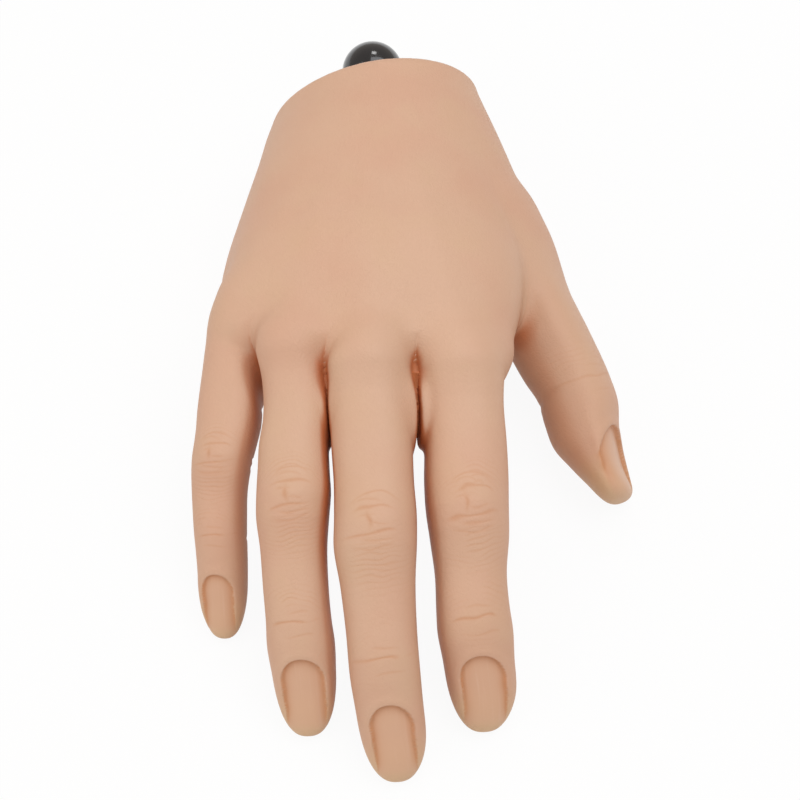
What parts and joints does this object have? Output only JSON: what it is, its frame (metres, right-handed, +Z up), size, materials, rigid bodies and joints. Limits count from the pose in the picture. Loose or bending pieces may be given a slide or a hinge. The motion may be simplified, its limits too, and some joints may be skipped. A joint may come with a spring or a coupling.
{
  "type": "nail practice hand",
  "caption": "Right hand of soft skin-toned silicone over a jointed inner frame, with bendable fingers and thumb, recessed nail beds and a black ball stud at the wrist.",
  "frame": {"origin": "under the middle of the hand on the surface it lies on", "axes": "+Y from the finger tips to the wrist and its ball stud, +X to the thumb side, +Z up from the palm to the back of the hand"},
  "size_m": [0.0998, 0.188, 0.047],
  "materials": {
    "silicone_skin": "soft matt skin-toned silicone with fine skin lines and glossier nail beds",
    "frame_nylon": "natural moulded nylon",
    "link_nylon": "grey moulded nylon",
    "pin_steel": "plain steel pins, screws and nut",
    "ball_black": "polished black ball",
    "plug_black": "fine textured black"
  },
  "bodies": {
    "palm": {"palm_skin": "silicone_skin", "palm_core": "frame_nylon", "wrist_plug": "plug_black", "ball_stud": "ball_black", "stud_lock_nut": "pin_steel", "plug_screw_left": "pin_steel", "plug_screw_right": "pin_steel", "index_knuckle_pin": "pin_steel", "middle_knuckle_pin": "pin_steel", "ring_knuckle_pin": "pin_steel", "little_knuckle_pin": "pin_steel", "thumb_knuckle_pin": "pin_steel"},
    "index_proximal": {"index_proximal_link": "link_nylon", "index_root_skin": "silicone_skin", "index_mid_pin": "pin_steel"},
    "index_middle": {"index_middle_link": "link_nylon", "index_middle_skin": "silicone_skin", "index_end_pin": "pin_steel"},
    "index_tip": {"index_tip_core": "link_nylon", "index_tip_skin": "silicone_skin"},
    "middle_proximal": {"middle_proximal_link": "link_nylon", "middle_root_skin": "silicone_skin", "middle_mid_pin": "pin_steel"},
    "middle_middle": {"middle_middle_link": "link_nylon", "middle_middle_skin": "silicone_skin", "middle_end_pin": "pin_steel"},
    "middle_tip": {"middle_tip_core": "link_nylon", "middle_tip_skin": "silicone_skin"},
    "ring_proximal": {"ring_proximal_link": "link_nylon", "ring_root_skin": "silicone_skin", "ring_mid_pin": "pin_steel"},
    "ring_middle": {"ring_middle_link": "link_nylon", "ring_middle_skin": "silicone_skin", "ring_end_pin": "pin_steel"},
    "ring_tip": {"ring_tip_core": "link_nylon", "ring_tip_skin": "silicone_skin"},
    "little_proximal": {"little_proximal_link": "link_nylon", "little_root_skin": "silicone_skin", "little_mid_pin": "pin_steel"},
    "little_middle": {"little_middle_link": "link_nylon", "little_middle_skin": "silicone_skin", "little_end_pin": "pin_steel"},
    "little_tip": {"little_tip_core": "link_nylon", "little_tip_skin": "silicone_skin"},
    "thumb_proximal": {"thumb_proximal_link": "link_nylon", "thumb_root_skin": "silicone_skin", "thumb_end_pin": "pin_steel"},
    "thumb_tip": {"thumb_tip_core": "link_nylon", "thumb_tip_skin": "silicone_skin"}
  },
  "joints": [
    {"name": "index_knuckle", "type": "hinge", "parent": "palm", "child": "index_proximal", "pos_m": [0.01085, -0.01817, 0.03204], "axis": [0.9957, 0.0807, -0.0453], "range_deg": [-10, 25], "deforming": ["index_root_skin"]},
    {"name": "index_mid", "type": "hinge", "parent": "index_proximal", "child": "index_middle", "pos_m": [0.01253, -0.04123, 0.02784], "axis": [0.9957, 0.0807, -0.0453], "range_deg": [-15, 60], "deforming": ["index_middle_skin"]},
    {"name": "index_end", "type": "hinge", "parent": "index_middle", "child": "index_tip", "pos_m": [0.01376, -0.06226, 0.01743], "axis": [0.9957, 0.0807, -0.0453], "range_deg": [-10, 35], "deforming": ["index_tip_skin"]},
    {"name": "middle_knuckle", "type": "hinge", "parent": "palm", "child": "middle_proximal", "pos_m": [-0.01031, -0.01816, 0.03589], "axis": [0.9974, 0.0516, 0.0506], "range_deg": [-10, 25], "deforming": ["middle_root_skin"]},
    {"name": "middle_mid", "type": "hinge", "parent": "middle_proximal", "child": "middle_middle", "pos_m": [-0.00854, -0.04713, 0.03061], "axis": [0.9974, 0.0516, 0.0506], "range_deg": [-15, 60], "deforming": ["middle_middle_skin"]},
    {"name": "middle_end", "type": "hinge", "parent": "middle_middle", "child": "middle_tip", "pos_m": [-0.00662, -0.07216, 0.01821], "axis": [0.9974, 0.0516, 0.0506], "range_deg": [-10, 35], "deforming": ["middle_tip_skin"]},
    {"name": "ring_knuckle", "type": "hinge", "parent": "palm", "child": "ring_proximal", "pos_m": [-0.02714, -0.01272, 0.03447], "axis": [0.9978, 0.0148, 0.0653], "range_deg": [-10, 25], "deforming": ["ring_root_skin"]},
    {"name": "ring_mid", "type": "hinge", "parent": "ring_proximal", "child": "ring_middle", "pos_m": [-0.02641, -0.03976, 0.02953], "axis": [0.9978, 0.0148, 0.0653], "range_deg": [-15, 60], "deforming": ["ring_middle_skin"]},
    {"name": "ring_end", "type": "hinge", "parent": "ring_middle", "child": "ring_tip", "pos_m": [-0.02527, -0.06328, 0.01738], "axis": [0.9978, 0.0148, 0.0653], "range_deg": [-10, 35], "deforming": ["ring_tip_skin"]},
    {"name": "little_knuckle", "type": "hinge", "parent": "palm", "child": "little_proximal", "pos_m": [-0.0411, -0.00714, 0.02749], "axis": [0.9661, -0.1367, 0.219], "range_deg": [-10, 25], "deforming": ["little_root_skin"]},
    {"name": "little_mid", "type": "hinge", "parent": "little_proximal", "child": "little_middle", "pos_m": [-0.04298, -0.02621, 0.02388], "axis": [0.9661, -0.1367, 0.219], "range_deg": [-15, 60], "deforming": ["little_middle_skin"]},
    {"name": "little_end", "type": "hinge", "parent": "little_middle", "child": "little_tip", "pos_m": [-0.04328, -0.04119, 0.01585], "axis": [0.9661, -0.1367, 0.219], "range_deg": [-10, 35], "deforming": ["little_tip_skin"]},
    {"name": "thumb_knuckle", "type": "hinge", "parent": "palm", "child": "thumb_proximal", "pos_m": [0.03038, 0.02149, 0.01815], "axis": [0.3016, 0.3155, -0.8997], "range_deg": [-5, 20], "deforming": ["thumb_root_skin"]},
    {"name": "thumb_end", "type": "hinge", "parent": "thumb_proximal", "child": "thumb_tip", "pos_m": [0.03844, -0.00176, 0.01271], "axis": [0.3016, 0.3155, -0.8997], "range_deg": [-5, 45], "deforming": ["thumb_tip_skin"]}
  ]
}
